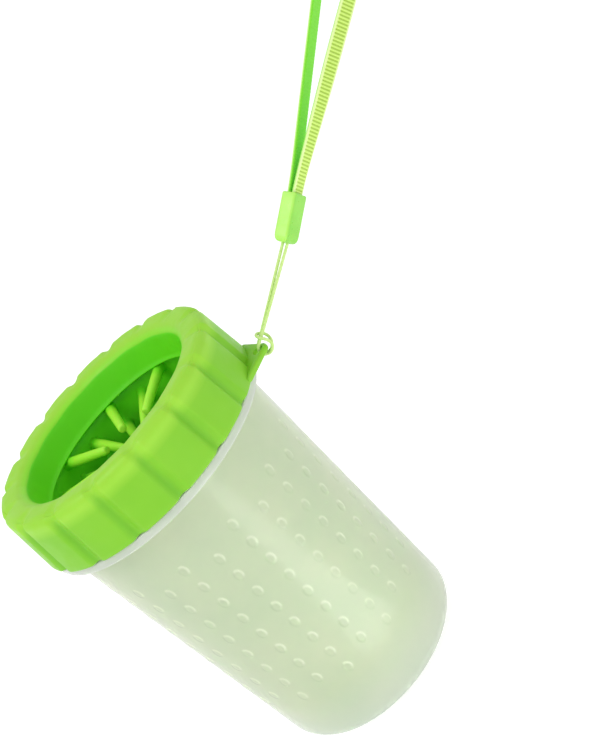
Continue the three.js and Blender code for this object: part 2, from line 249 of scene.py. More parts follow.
def from_nearest(azimuths, first_deg, count):
    """Angles from the nearest of several evenly spaced directions, in radians."""
    spacing = 2 * math.pi / count
    return (azimuths - math.radians(first_deg) + spacing / 2) % spacing - spacing / 2


def lug_share(azimuths, first_deg, soft_deg):
    """1 over each bayonet lug and 0 between the lugs."""
    off = np.degrees(np.abs(from_nearest(azimuths, first_deg, LUG_COUNT)))
    return 1 - smoothstep(LUG_HALF_SPAN_DEG - soft_deg, LUG_HALF_SPAN_DEG + soft_deg, off)


def paint(made, name, values):
    """A number on each point of a mesh, for its material to read."""
    layer = made.data.attributes.new(name, "FLOAT", "POINT")
    layer.data.foreach_set("value", np.asarray(values, np.float32).ravel())


# ---- cup: cone with raised dots, rounded base, rim flange, neck with bayonet lugs ----
def cup_radius(z):
    return CUP_BASE_RADIUS + (CUP_TOP_RADIUS - CUP_BASE_RADIUS) * z / RIM_Z


def dot_azimuths():
    """Columns of the cup's surface: close together on the dots, wider between them."""
    on_dot = np.linspace(-2.6, 2.6, 11)
    between = np.linspace(2.6, 12.4, 7)[1:-1]
    steps = np.concatenate([on_dot, between])
    starts = np.concatenate([
        DOT_LEFT_DEG + 360 / DOT_COLUMNS * np.arange(DOT_COLUMNS),
        DOT_RIGHT_DEG + 360 / DOT_COLUMNS * np.arange(DOT_COLUMNS),
    ])
    return np.sort(np.radians((starts[:, None] + steps[None, :]).ravel() % 360))


def dot_offsets(azimuths, z):
    """Distances across and up from the nearest oval of each set of columns, as shares of its size."""
    columns = (
        (DOT_LEFT_DEG, DOT_LEFT_Z, DOT_LEFT_PITCH),
        (DOT_RIGHT_DEG, DOT_RIGHT_Z, DOT_RIGHT_PITCH),
    )
    for first_deg, first_z, pitch in columns:
        row = min(max(round((z - first_z) / pitch), 0), DOT_ROWS - 1)
        up = (z - first_z - pitch * row) / DOT_HALF_HEIGHT
        off = from_nearest(azimuths, first_deg, DOT_COLUMNS)
        yield off * cup_radius(z) / DOT_HALF_WIDTH, up


def dot_height(azimuths, z):
    """How far the raised ovals stand off the wall at one height."""
    rise = np.zeros_like(azimuths)
    for across, up in dot_offsets(azimuths, z):
        out = np.hypot(across, up)
        dome = 0.72 + 0.28 * (1 - np.clip(out, 0, 1) ** 2)
        rise = np.maximum(rise, DOT_RISE * dome * (1 - smoothstep(0.66, 0.98, out)))
    return rise


def dot_painted_edge(azimuths, z, facing):
    """Where painted highlight or painted shade goes: 1 on the part of each oval's edge that faces one
    way, given as (across, up), and 0 elsewhere.
    """
    share = np.zeros_like(azimuths)
    for across, up in dot_offsets(azimuths, z):
        out = np.hypot(across, up) + 1e-6
        turned = (across * facing[0] + up * facing[1]) / out
        ring = np.exp(-((out - DOT_EDGE) / 0.16) ** 2)
        share = np.maximum(share, ring * smoothstep(0.05, 0.5, turned))
    return share


def cup_outside():
    """The cup's outer section from the middle of its base up to the rim flange's underside."""
    base_r = cup_radius(CUP_BASE_ROUND) - CUP_BASE_ROUND
    flare_r = cup_radius(RIM_FLARE_Z)
    heights = [
        *np.linspace(10, DOTS_LOW_Z, 8),
        *np.arange(DOTS_LOW_Z, DOTS_HIGH_Z, 0.42)[1:],
        *np.linspace(DOTS_HIGH_Z, RIM_FLARE_Z - 0.5, 7),
    ]
    return [
        (6, 0), (20, 0), (base_r - 2, 0),
        *arc(base_r, CUP_BASE_ROUND, CUP_BASE_ROUND, -90, 0, 14),
        *[(cup_radius(z), z) for z in heights],
        (flare_r + 0.12, RIM_FLARE_Z + 0.02), (flare_r + 0.45, RIM_FLARE_Z + 0.28),
        (flare_r + 1.2, RIM_FLARE_Z + 0.5),
    ]


def cup_rim_and_neck():
    """The section round the rim flange, up the neck and over its top edge."""
    neck_heights = [
        *np.linspace(RIM_TOP_Z + 2, NECK_LUG_Z - 0.5, 4),
        *np.linspace(NECK_LUG_Z - 0.2, NECK_LUG_Z + LUG_HEIGHT + 0.2, 9),
    ]
    return [
        (RIM_RADIUS - 1.6, RIM_EDGE_Z - 0.42), (RIM_RADIUS - 0.6, RIM_EDGE_Z - 0.12),
        (RIM_RADIUS - 0.2, RIM_EDGE_Z + 0.14), (RIM_RADIUS, RIM_EDGE_Z + 0.6),
        (RIM_RADIUS, (RIM_EDGE_Z + RIM_TOP_Z) / 2),
        *arc(RIM_RADIUS - 0.45, RIM_TOP_Z - 0.45, 0.45, 0, 90, 5),
        (NECK_RADIUS + 1.2, RIM_TOP_Z),
        *arc(NECK_RADIUS + 0.5, RIM_TOP_Z + 0.5, 0.5, -90, -180, 3),
        *[(NECK_RADIUS, z) for z in neck_heights],
        *arc(NECK_RADIUS - 0.6, NECK_TOP_Z - 0.6, 0.6, 0, 90, 4),
        *arc(NECK_BORE_RADIUS + 0.5, NECK_TOP_Z - 0.5, 0.5, 90, 180, 4),
    ]


def cup_inside():
    """The cup's inner section from under the neck down to the middle of its floor."""
    base_r = cup_radius(CUP_BASE_ROUND) - CUP_BASE_ROUND
    inner_round = CUP_BASE_ROUND - CUP_WALL
    return [
        (NECK_BORE_RADIUS - 0.03, RIM_Z + 8), (CUP_TOP_RADIUS - CUP_WALL, RIM_Z),
        *[(cup_radius(z) - CUP_WALL, z) for z in np.linspace(RIM_Z - 8, 14, 12)],
        *arc(base_r, CUP_FLOOR + inner_round, inner_round, 0, -90, 8),
        (20, CUP_FLOOR), (6, CUP_FLOOR),
    ]


def cup_row(azimuths, r, z):
    """One ring of the cup, and how far it lies on the dots' painted highlight edges, their painted
    shade edges and the rim.
    """
    light = np.zeros_like(azimuths)
    shade = np.zeros_like(azimuths)
    rise = 0
    if abs(r - cup_radius(z)) < 0.01 and DOTS_LOW_Z < z < DOTS_HIGH_Z:
        rise = dot_height(azimuths, z)
        # Painted highlight and painted shade on opposite edges of each dot.
        light = dot_painted_edge(azimuths, z, DOT_PAINTED_HIGHLIGHT_SIDE)
        shade = dot_painted_edge(azimuths, z, DOT_PAINTED_SHADE_SIDE)
    if r == NECK_RADIUS and NECK_LUG_Z - 0.05 <= z <= NECK_LUG_Z + LUG_HEIGHT + 0.05:
        rise = LUG_REACH * lug_share(azimuths, 0, 0.6)
    on_rim = RIM_EDGE_Z - 0.3 < z < RIM_TOP_Z + 0.1 and r > NECK_RADIUS + 1
    return around(azimuths, r + rise, z), light, shade, np.full_like(azimuths, on_rim)


def make_cup():
    azimuths = dot_azimuths()
    section = cup_outside() + cup_rim_and_neck() + cup_inside()
    rows, light, shade, rim = zip(*[cup_row(azimuths, r, z) for r, z in section])
    count = len(azimuths)
    points = np.concatenate([*rows, [[0, 0, 0], [0, 0, CUP_FLOOR]]])
    last = (len(rows) - 1) * count
    faces = strip_faces(len(rows), count)
    faces += fan_faces(len(points) - 2, list(range(count)), flip=True)
    faces += fan_faces(len(points) - 1, list(range(last, last + count)))
    cup = new_object("cup_shell", points, faces)
    # Painted highlight and painted shade on the dots' edges, then the rim's band.
    paint(cup, "dot_painted_highlight", [*np.concatenate(light), 0, 0])
    paint(cup, "dot_painted_shade", [*np.concatenate(shade), 0, 0])
    paint(cup, "rim", [*np.concatenate(rim), 0, 0])
    cup.data.materials.append(frosted_plastic())
    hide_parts("cup")
    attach(cup, "cup_body")


# ---- insert: flanged sleeve with rings of soft fingers ----
def skin_radius(z):
    share = (z - SLEEVE_END_Z) / (SKIRT_END_Z - SLEEVE_END_Z)
    return SLEEVE_END_RADIUS + (SLEEVE_NECK_RADIUS - SLEEVE_END_RADIUS) * share


def make_sleeve():
    flange_low = FLANGE_TOP_Z - FLANGE_THICKNESS
    profile = [
        (SLEEVE_END_RADIUS + 0.5, SLEEVE_END_Z), (SLEEVE_END_RADIUS + SLEEVE_WALL - 0.5, SLEEVE_END_Z),
        (SLEEVE_END_RADIUS + SLEEVE_WALL, SLEEVE_END_Z + 0.5),
        (SLEEVE_NECK_RADIUS + SLEEVE_WALL, SKIRT_END_Z),
        (SLEEVE_TOP_RADIUS + 1.2, flange_low - 0.8), (SLEEVE_TOP_RADIUS + 2, flange_low),
        (FLANGE_RADIUS - 0.5, flange_low), (FLANGE_RADIUS, flange_low + 0.5),
        (FLANGE_RADIUS, FLANGE_TOP_Z - 0.5), (FLANGE_RADIUS - 0.5, FLANGE_TOP_Z),
        (SLEEVE_TOP_RADIUS + 0.5, FLANGE_TOP_Z), (SLEEVE_TOP_RADIUS, FLANGE_TOP_Z - 0.5),
        (SLEEVE_NECK_RADIUS + 0.6, SKIRT_END_Z + 0.6), (SLEEVE_NECK_RADIUS, SKIRT_END_Z),
        (SLEEVE_END_RADIUS, SLEEVE_END_Z + 0.5),
    ]
    profile = resampled(profile + profile[:1], 4)[:-1]
    azimuths = np.linspace(0, 2 * math.pi, 144, endpoint=False)
    rows = [around(azimuths, r, z) for r, z in profile]
    faces = strip_faces(len(rows), len(azimuths), wrap_rows=True)
    sleeve = new_object("insert_sleeve", np.concatenate(rows), faces)
    sleeve.data.materials.append(green_silicone())
    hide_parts("bristle_sleeve")
    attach(sleeve, "insert_body")


def finger_outline(length):
    """Distances from a finger's root to its tip, and the finger's radius at each of them."""
    along = np.array([0, 0.5, 1, 1.7, 2.6, *np.linspace(5, length - 3, 5), length - 1.2])
    radius = FINGER_ROOT_RADIUS + (FINGER_TIP_RADIUS - FINGER_ROOT_RADIUS) * along / length
    radius = radius + 0.9 * np.exp(-along / 0.75)
    tip = np.radians(np.array([30, 55, 75, 88]))
    tip_along = length - FINGER_TIP_ROUND + FINGER_TIP_ROUND * np.sin(tip)
    tip_radius = FINGER_TIP_RADIUS - FINGER_TIP_ROUND + FINGER_TIP_ROUND * np.cos(tip)
    return np.concatenate([along, tip_along]), np.concatenate([radius, tip_radius])


def finger_mesh(azimuth, root_z, bend, lean):
    """One finger: flared root, slight taper and droop, blunt rounded tip."""
    root_r = skin_radius(root_z) + 0.4
    length = root_r - FINGER_TIP_CIRCLE
    along, radius = finger_outline(length)
    x = root_r - along
    y = lean * (along / length) ** 2
    z = root_z - FINGER_DROOP * (along / length) ** 1.5 * bend
    turns = np.linspace(0, 2 * math.pi, FINGER_SIDES, endpoint=False)
    rings = []
    for i in range(len(along)):
        ring_y = y[i] + radius[i] * np.cos(turns)
        ring_z = z[i] + radius[i] * np.sin(turns)
        rings.append(np.column_stack([np.full(FINGER_SIDES, x[i]), ring_y, ring_z]))
    points = np.concatenate([*rings, [[x[-1] - 0.02, y[-1], z[-1]]]])
    faces = [face[::-1] for face in strip_faces(len(rings), FINGER_SIDES)]
    last = (len(rings) - 1) * FINGER_SIDES
    faces += fan_faces(len(points) - 1, list(range(last, last + FINGER_SIDES)), flip=True)
    faces.append(tuple(range(FINGER_SIDES)))
    cos = math.cos(azimuth)
    sin = math.sin(azimuth)
    turn = np.array([[cos, -sin, 0], [sin, cos, 0], [0, 0, 1]])
    return points @ turn.T, faces


def make_fingers():
    chance = np.random.default_rng(11)
    fingers = []
    for ring in range(RING_COUNT):
        for index in range(FINGERS_PER_RING):
            step = index + (0 if ring % 2 == 0 else 0.5)
            azimuth = math.radians(FIRST_FINGER_DEG) + 2 * math.pi * step / FINGERS_PER_RING
            bend = 1 + 0.4 * chance.uniform(-1, 1)
            lean = 0.5 * chance.uniform(-1, 1)
            fingers.append(finger_mesh(azimuth, FIRST_RING_Z - RING_PITCH * ring, bend, lean))
    made = new_object("insert_fingers", *joined(*fingers))
    made.data.materials.append(green_silicone())
    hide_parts("bristle_fingers")
    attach(made, "insert_body")


# ---- collar: lobed grip ring with the mouth's skirt, bayonet lugs and lanyard tab ----
def groove_share(azimuths):
    """1 in the middle of each groove, 0 outside its edges."""
    off = np.abs(from_nearest(azimuths, FIRST_GROOVE_DEG, LOBE_COUNT)) * COLLAR_RADIUS
    return 1 - smoothstep(0.3, GROOVE_WIDTH / 2 + 1.3, off)


def groove_shade(azimuths, z):
    """Where painted shade goes: 1 on the wall of each groove that turns away from the light, fading
    out over the crest.
    """
    off = from_nearest(azimuths, FIRST_GROOVE_DEG, LOBE_COUNT) * COLLAR_RADIUS
    low = 1 - smoothstep(ROUND_CENTRE_Z - 3, ROUND_CENTRE_Z + 3, np.array(z))
    return np.exp(-((off + 0.8) / 1.5) ** 2) * low


def collar_azimuths():
    spacing = 360 / LOBE_COUNT
    edge = math.degrees(GROOVE_WIDTH / 2 / COLLAR_RADIUS)
    across = np.linspace(-edge - 1.7, edge + 1.7, 23)
    lobe = np.linspace(edge + 1.7, spacing - edge - 1.7, 9)[1:-1]
    one = np.concatenate([across, lobe])
    starts = FIRST_GROOVE_DEG + spacing * np.arange(LOBE_COUNT)
    return np.sort(np.radians((starts[:, None] + one[None, :]).ravel() % 360))


def collar_outside():
    """The collar's section from its lower outer edge over the crest and down inside the mouth."""
    section = [
        (COLLAR_RADIUS - 0.3, COLLAR_BOTTOM_Z), (COLLAR_RADIUS - 0.08, COLLAR_BOTTOM_Z + 0.12),
        (COLLAR_RADIUS, COLLAR_BOTTOM_Z + 0.5),
        *arc(ROUND_CENTRE_R, ROUND_CENTRE_Z, COLLAR_ROUND, 0, 90, 16),
        (MOUTH_RADIUS + 3.6, MOUTH_LIP_Z + 2.5), (MOUTH_RADIUS + 2, MOUTH_LIP_Z + 1.7),
        (MOUTH_RADIUS + 0.8, MOUTH_LIP_Z + 0.9), (MOUTH_RADIUS + 0.25, MOUTH_LIP_Z + 0.3),
        (MOUTH_RADIUS, MOUTH_LIP_Z - 0.4),
        (SKIRT_END_RADIUS + 0.1, SKIRT_END_Z + 1.1), (SKIRT_END_RADIUS - 0.25, SKIRT_END_Z + 0.75),
        (SKIRT_END_RADIUS - 0.3, SKIRT_END_Z + 0.4), (SKIRT_END_RADIUS + 0.3, SKIRT_END_Z),
    ]
    return resampled(section, 1.6)


def collar_inside():
    """The hidden part of the section: behind the skirt, under the plate and down the bore."""
    skirt_r = SKIRT_END_RADIUS + SKIRT_WALL
    lug_heights = [COLLAR_LUG_Z + LUG_HEIGHT * share for share in (1, 0.66, 0.33, 0)]
    return [
        (skirt_r - 0.4, SKIRT_END_Z), (skirt_r, SKIRT_END_Z + 0.4),
        (MOUTH_RADIUS + SKIRT_WALL - 0.2, PLATE_UNDERSIDE_Z - 1),
        (MOUTH_RADIUS + 2.4, PLATE_UNDERSIDE_Z),
        (COLLAR_BORE_RADIUS - 1, PLATE_UNDERSIDE_Z), (COLLAR_BORE_RADIUS, PLATE_UNDERSIDE_Z - 1),
        (COLLAR_BORE_RADIUS, COLLAR_LUG_Z + LUG_HEIGHT + 0.2),
        *[(COLLAR_BORE_RADIUS, z) for z in lug_heights],
        (COLLAR_BORE_RADIUS, COLLAR_LUG_Z - 0.2),
        (COLLAR_BORE_RADIUS, COLLAR_BOTTOM_Z + 0.4), (COLLAR_BORE_RADIUS + 0.4, COLLAR_BOTTOM_Z),
    ]


def grooved_row(azimuths, r, z):
    """One ring of the collar's outside, sunk along its own normal in the grooves."""
    wave = np.cos(LOBE_COUNT * (azimuths - math.radians(FIRST_GROOVE_DEG)))
    tilt = math.pi / 2
    if r > MOUTH_RADIUS + 1:
        tilt = math.atan2(max(z - ROUND_CENTRE_Z, 0), max(r - ROUND_CENTRE_R, 1e-6))
    hold = 1 - 0.4 * smoothstep(0.6, 1.5, np.array(tilt))
    fade = smoothstep(MOUTH_RADIUS + 2, ROUND_CENTRE_R + 1.5, np.array(r))
    depth = GROOVE_DEPTH * groove_share(azimuths) * hold * fade
    lip = 0
    if z > MOUTH_LIP_Z - 1:
        lip = 0.07 * wave * (1 - smoothstep(2.0, 6.0, np.array(r - MOUTH_RADIUS)))
    dip = 0.2 * (1 + wave) * fade if z > ROUND_CENTRE_Z + 3 else 0
    return around(azimuths, r - depth * math.cos(tilt) + lip, z - depth * math.sin(tilt) - dip)


def bore_row(azimuths, r, z):
    """One ring of the collar's hidden side, drawn in at the bayonet lugs."""
    reach = 0
    if COLLAR_LUG_Z - 0.01 <= z <= COLLAR_LUG_Z + LUG_HEIGHT + 0.01:
        gap = COLLAR_BORE_RADIUS - NECK_RADIUS - 0.4
        reach = gap * lug_share(azimuths, COLLAR_LUG_OFFSET_DEG, 0.8)
    return around(azimuths, r - reach, z)


def make_collar():
    azimuths = collar_azimuths()
    outside = collar_outside()
    inside = collar_inside()
    rows = [grooved_row(azimuths, r, z) for r, z in outside]
    rows += [bore_row(azimuths, r, z) for r, z in inside]
    ring = (np.concatenate(rows), strip_faces(len(rows), len(azimuths), wrap_rows=True))
    tab = tab_mesh()
    collar = new_object("collar_moulding", *joined(ring, tab))
    # Painted shade on the groove walls that turn away from the light.
    shade = [groove_shade(azimuths, z) for _, z in outside]
    unshaded = np.zeros(len(inside) * len(azimuths) + len(tab[0]))
    paint(collar, "groove", [*np.concatenate(shade), *unshaded])
    collar.data.materials.append(lime_rubber())
    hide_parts("collar")
    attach(collar, "collar_body")


def tab_outline():
    """The tab's edge as points, from one foot on the collar round its tip to the other."""
    tangent = math.pi / 3.2
    tip = np.linspace(-tangent, tangent, 25)
    low = (TAB_HOLE_X + TAB_TIP_RADIUS * math.cos(tangent), -TAB_TIP_RADIUS * math.sin(tangent))
    corners = [(TAB_FOOT[0], -TAB_FOOT[1]), (TAB_SHOULDER[0], -TAB_SHOULDER[1]), low]
    side = resampled(corners, 1.0)[:-1]
    end = [
        (TAB_HOLE_X + TAB_TIP_RADIUS * math.cos(a), TAB_TIP_RADIUS * math.sin(a)) for a in tip
    ]
    return side + end + [(x, -y) for x, y in side[::-1]]


def tab_mesh():
    """A plate with rounded edges: outer edge and hole edge joined by rows across both faces."""
    edge = np.array(tab_outline())
    back = np.array([(TAB_ROOT_X, y) for y in np.linspace(TAB_FOOT[1], -TAB_FOOT[1], 13)])
    edge = np.concatenate([edge, back])
    centre = np.array([TAB_HOLE_X, 0])
    angles = np.arctan2(edge[:, 1], edge[:, 0] - TAB_HOLE_X)
    hole = centre + TAB_HOLE_RADIUS * np.stack([np.cos(angles), np.sin(angles)], axis=-1)
    inward = edge - centre
    inward /= np.linalg.norm(inward, axis=1)[:, None]
    rows = []
    low, high, soft = COLLAR_BOTTOM_Z, COLLAR_BOTTOM_Z + TAB_THICKNESS, 0.6
    section = [
        (edge, soft, low), (edge, 0.18, low + 0.18), (edge, 0, low + soft),
        (edge, 0, high - soft), (edge, 0.18, high - 0.18), (edge, soft, high),
        (hole, -0.4, high), (hole, -0.1, high - 0.1), (hole, 0, high - 0.4),
        (hole, 0, low + 0.4), (hole, -0.1, low + 0.1), (hole, -0.4, low),
    ]
    for line, inset, z in section:
        flat = line - inward * inset
        rows.append(np.column_stack([flat, np.full(len(flat), z)]))
    return np.concatenate(rows), strip_faces(len(rows), len(edge), wrap_rows=True)


# ---- lanyard: cord loop hitched to the tab, clamp, wrist webbing ----
PIVOT = np.array([
    TAB_HOLE_X + (TAB_HOLE_RADIUS + TAB_TIP_RADIUS) / 2, 0, COLLAR_BOTTOM_Z + TAB_THICKNESS / 2,
])
ALONG = np.array([
    math.cos(LANYARD_ELEVATION) * math.cos(LANYARD_AZIMUTH),
    math.cos(LANYARD_ELEVATION) * math.sin(LANYARD_AZIMUTH),
    math.sin(LANYARD_ELEVATION),
])
LEVEL = np.array([-math.sin(LANYARD_AZIMUTH), math.cos(LANYARD_AZIMUTH), 0])
UPWARD = np.cross(ALONG, LEVEL)
FLAT_NORMAL = -math.cos(LANYARD_ROLL) * LEVEL - math.sin(LANYARD_ROLL) * UPWARD
WIDTH_WAY = np.cross(FLAT_NORMAL, ALONG)

# Half of the girth hitch, as in the frame: [towards the clamp, above the strands, aside].
HITCH = [
    (0, 2.35, 0.64), (-1.68, 1.67, 0.64), (-2.38, 0, 0.64), (-1.68, -1.67, 0.66), (0, -2.34, 0.85),
    (1.7, -1.98, 1.45), (2.82, -0.7, 2.02), (3.22, 0.9, 2.24), (3.17, 2.42, 2), (3.02, 3.44, 1.12),
]
BAND_MIDDLE = (2.97, 3.8, 0)


def hitch_point(towards, above, aside):
    run = math.hypot(ALONG[0], ALONG[2])
    lean = max(towards, 0) * ALONG[1] / run
    return PIVOT + np.array([
        (towards * ALONG[0] - above * ALONG[2]) / run,
        aside + lean,
        (towards * ALONG[2] + above * ALONG[0]) / run,
    ])


def strand(spread, hitch_start):
    top = PIVOT + ALONG * CORD_REACH + spread
    return [top + (hitch_start - top) * share for share in (0, 0.3, 0.6, 0.85)]


def cord_points():
    spread = (LEVEL + UPWARD) / math.sqrt(2) * STRAND_SPREAD
    half = [hitch_point(*p) for p in HITCH]
    other_half = [hitch_point(p, q, -y) for p, q, y in HITCH][::-1]
    return np.array([
        *strand(spread, half[0]), *half, hitch_point(*BAND_MIDDLE),
        *other_half, *strand(-spread, other_half[-1])[::-1],
    ])


def webbing_points():
    start_x = WEBBING_THICKNESS / 2 + 0.15
    end_y = WEBBING_REACH - LOOP_END_RADIUS
    right = [(start_x, 0), (start_x + 0.4, 8), (3.4, 34), (6.2, 67), (8.5, 94)]
    turn = [
        (LOOP_END_RADIUS * math.cos(a), end_y + LOOP_END_RADIUS * math.sin(a))
        for a in np.linspace(0, math.pi, 9)
    ]
    half_way = right + turn + [(-x, y) for x, y in right[::-1]]
    origin = PIVOT + ALONG * (CORD_REACH + CLAMP_LENGTH + 2 * CLAMP_GAP)
    return np.array([origin + FLAT_NORMAL * x + ALONG * y for x, y in half_way])


def smooth_line(points, steps):
    """A centripetal Catmull-Rom curve through the points, as evenly spaced points."""
    padded = np.concatenate([
        [2 * points[0] - points[1]], points, [2 * points[-1] - points[-2]],
    ])
    line = []
    for p0, p1, p2, p3 in zip(padded, padded[1:], padded[2:], padded[3:]):
        d0, d1, d2 = (math.sqrt(np.linalg.norm(b - a)) for a, b in ((p0, p1), (p1, p2), (p2, p3)))
        out = ((p1 - p0) / d0 - (p2 - p0) / (d0 + d1) + (p2 - p1) / d1) * d1
        into = ((p2 - p1) / d1 - (p3 - p1) / (d1 + d2) + (p3 - p2) / d2) * d1
        for t in np.linspace(0, 1, 60, endpoint=False):
            line.append(
                (2 * t**3 - 3 * t**2 + 1) * p1 + (t**3 - 2 * t**2 + t) * out
                + (3 * t**2 - 2 * t**3) * p2 + (t**3 - t**2) * into
            )
    line = np.array([*line, points[-1]])
    reach = np.concatenate([[0], np.cumsum(np.linalg.norm(np.diff(line, axis=0), axis=1))])
    even = np.linspace(0, reach[-1], steps + 1)
    return np.stack([np.interp(even, reach, line[:, i]) for i in range(3)], axis=-1), reach[-1]


def carried_frames(line, first_normal):
    """A normal and a side direction at each point, carried along the line without twisting."""
    tangents = np.gradient(line, axis=0)
    tangents /= np.linalg.norm(tangents, axis=1)[:, None]
    normals = []
    normal = np.array(first_normal, float)
    for tangent in tangents:
        normal = normal - tangent * normal.dot(tangent)
        normal /= np.linalg.norm(normal)
        normals.append(normal)
    normals = np.array(normals)
    return normals, np.cross(tangents, normals)


def capped_tube(name, rows):
    """A closed mesh from a [place along, place around] grid of points."""
    length, count = rows.shape[:2]
    faces = strip_faces(length, count)
    last = (length - 1) * count
    faces.append(tuple(range(count))[::-1])
    faces.append(tuple(range(last, last + count)))
    return new_object(name, rows.reshape(-1, 3), faces)


def braided_rows(line, length):
    """Rings of points round the cord's centre line, with a braid of crossing strands."""
    normals, sides = carried_frames(line, LEVEL)
    angles = np.linspace(0, 2 * math.pi, CORD_SIDES, endpoint=False)
    along = np.linspace(0, length, len(line))
    plait = 2 * math.pi / BRAID_PITCH
    over = np.cos(4 * angles[None, :] + plait * along[:, None])
    under = np.cos(4 * angles[None, :] - plait * along[:, None])
    radius = CORD_DIAMETER / 2 - BRAID_DEPTH + BRAID_DEPTH * np.maximum(over, under)
    return line[:, None, :] + radius[..., None] * (
        np.cos(angles)[None, :, None] * normals[:, None, :]
        + np.sin(angles)[None, :, None] * sides[:, None, :]
    )


def make_cord(clamp):
    line, length = smooth_line(cord_points(), 520)
    cord = capped_tube("lanyard_cord", braided_rows(line, length))
    cord.data.materials.append(lime_cord())
    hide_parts("cord_loop")
    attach(cord, "lanyard_body")


def clamp_outline(inset, count):
    """The clamp's rounded section, drawn in by an inset."""
    half_t = CLAMP_THICKNESS / 2 - inset
    half_w = CLAMP_WIDTH / 2 - inset
    corner = max(CLAMP_CORNER - inset, 0.3)
    points = []
    for quarter, (sx, sz) in enumerate(((1, 1), (-1, 1), (-1, -1), (1, -1))):
        for a in np.linspace(0, math.pi / 2, count // 4):
            angle = a + quarter * math.pi / 2
            points.append((sx * (half_t - corner) + corner * math.cos(angle),
                           sz * (half_w - corner) + corner * math.sin(angle)))
    return np.array(points)


def clamp_shaded_side(count):
    """Where painted shade goes: 0 on the clamp's upper side and 1 on its lower, shaded one, round its
    section.
    """
    flat = clamp_outline(0, count)
    lean = flat[:, 0] / CLAMP_THICKNESS - flat[:, 1] / CLAMP_WIDTH
    return smoothstep(-0.12, 0.12, lean)


def make_clamp():
    """The clamp, reaching 0.3 mm over the cord's ends and 0.6 mm over the webbing's."""
    length = CLAMP_LENGTH + 2 * CLAMP_GAP + 0.9
    count = 40
    wall = 0.95
    section = [
        (2.6, 0.6), (2.3, 0.2), (1.9, 0.0), (1.3, 0.1), (0.8, 0.45), (0.35, 1.05), (0.08, 1.9), (0, 3),
        (0, 5.5), (0, 9), (0, 12.5), (0, length - 0.5), (0.1, length - 0.15),
        (0.35, length), (wall - 0.2, length), (wall, length - 0.25), (wall + 0.05, length - 2.2),
    ]
    rows = []
    origin = PIVOT + ALONG * (CORD_REACH - 0.3)
    for inset, y in section:
        flat = clamp_outline(min(inset, 2.2), count)
        rows.append(origin + flat[:, :1] * FLAT_NORMAL + y * ALONG + flat[:, 1:] * WIDTH_WAY)
    faces = [face[::-1] for face in strip_faces(len(rows), count)]
    last = (len(rows) - 1) * count
    faces.append(tuple(range(count)))
    faces.append(tuple(range(last, last + count))[::-1])
    made = new_object("lanyard_clamp", np.concatenate(rows), faces)
    # Painted shade on the clamp's lower side.
    paint(made, "shaded_side", np.tile(clamp_shaded_side(count), len(rows)))
    made.data.materials.append(lime_plastic())
    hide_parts("cord_clamp")
    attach(made, "lanyard_body")
    return made


def webbing_twist(share):
    rise = smoothstep(0, 0.22, share)
    fall = 1 - smoothstep(0.4, 0.6, share)
    return WEBBING_TWIST * rise * fall


def webbing_frames(line, along):
    """The webbing's outward and sideways directions at each point of its line."""
    flat_normals, _ = carried_frames(line, FLAT_NORMAL)
    twist = webbing_twist(along / along[-1])[:, None]
    outward = np.cos(twist) * flat_normals - np.sin(twist) * WIDTH_WAY
    sideways = np.cos(twist) * WIDTH_WAY + np.sin(twist) * flat_normals
    return outward[:, None, :], sideways[:, None, :]


def webbing_rows(line, along, across, selvage, rib):
    """Points round the webbing: its ribbed outer face, then its nearly flat inner one."""
    outward, sideways = webbing_frames(line, along)
    half_t = WEBBING_THICKNESS / 2
    worn_edge = 0.3 * np.clip(np.abs(across) - 0.85, 0, 1)[None, :] / 0.15
    ribbed = selvage[None, :] + (1 - selvage[None, :]) * rib[:, None]
    outer_height = half_t - 0.28 + 0.28 * ribbed - worn_edge
    inner_height = half_t - 0.06 - 0.06 * rib[:, None] - worn_edge
    reach = across[None, :, None] * WEBBING_WIDTH / 2 * sideways
    outer = line[:, None, :] + reach + outer_height[..., None] * outward
    inner = line[:, None, :] + reach - inner_height[..., None] * outward
    return np.concatenate([outer, inner[:, ::-1]], axis=1)


def make_webbing():
    line, length = smooth_line(webbing_points(), 2200)
    along = np.linspace(0, length, len(line))
    across = np.array([-1, -0.9, -0.8, -0.68, -0.6, -0.3, 0, 0.3, 0.6, 0.68, 0.8, 0.9, 1])
    selvage = np.clip((np.abs(across) - 0.72) / 0.1, 0, 1)
    rib = 0.5 + 0.5 * np.cos(2 * math.pi * along / RIB_PITCH)
    webbing = capped_tube("wrist_strap", webbing_rows(line, along, across, selvage, rib))
    outer_face = np.concatenate([np.ones(len(across)), np.zeros(len(across))])
    paint(webbing, "outer_face", np.tile(outer_face, len(line)))
    paint(webbing, "selvage", np.tile(np.concatenate([selvage, selvage[::-1]]), len(line)))
    paint(webbing, "rib", np.repeat(rib, 2 * len(across)))
    webbing.data.materials.append(lime_webbing())
    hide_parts("wrist_webbing")
    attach(webbing, "lanyard_body")


# ---- materials ----
def srgb(red, green, blue):
    """A colour given as 0 to 255 display values, as the linear values that shaders take."""
    def linear(value):
        value /= 255
        return value / 12.92 if value <= 0.04045 else ((value + 0.055) / 1.055) ** 2.4
    return (linear(red), linear(green), linear(blue), 1.0)


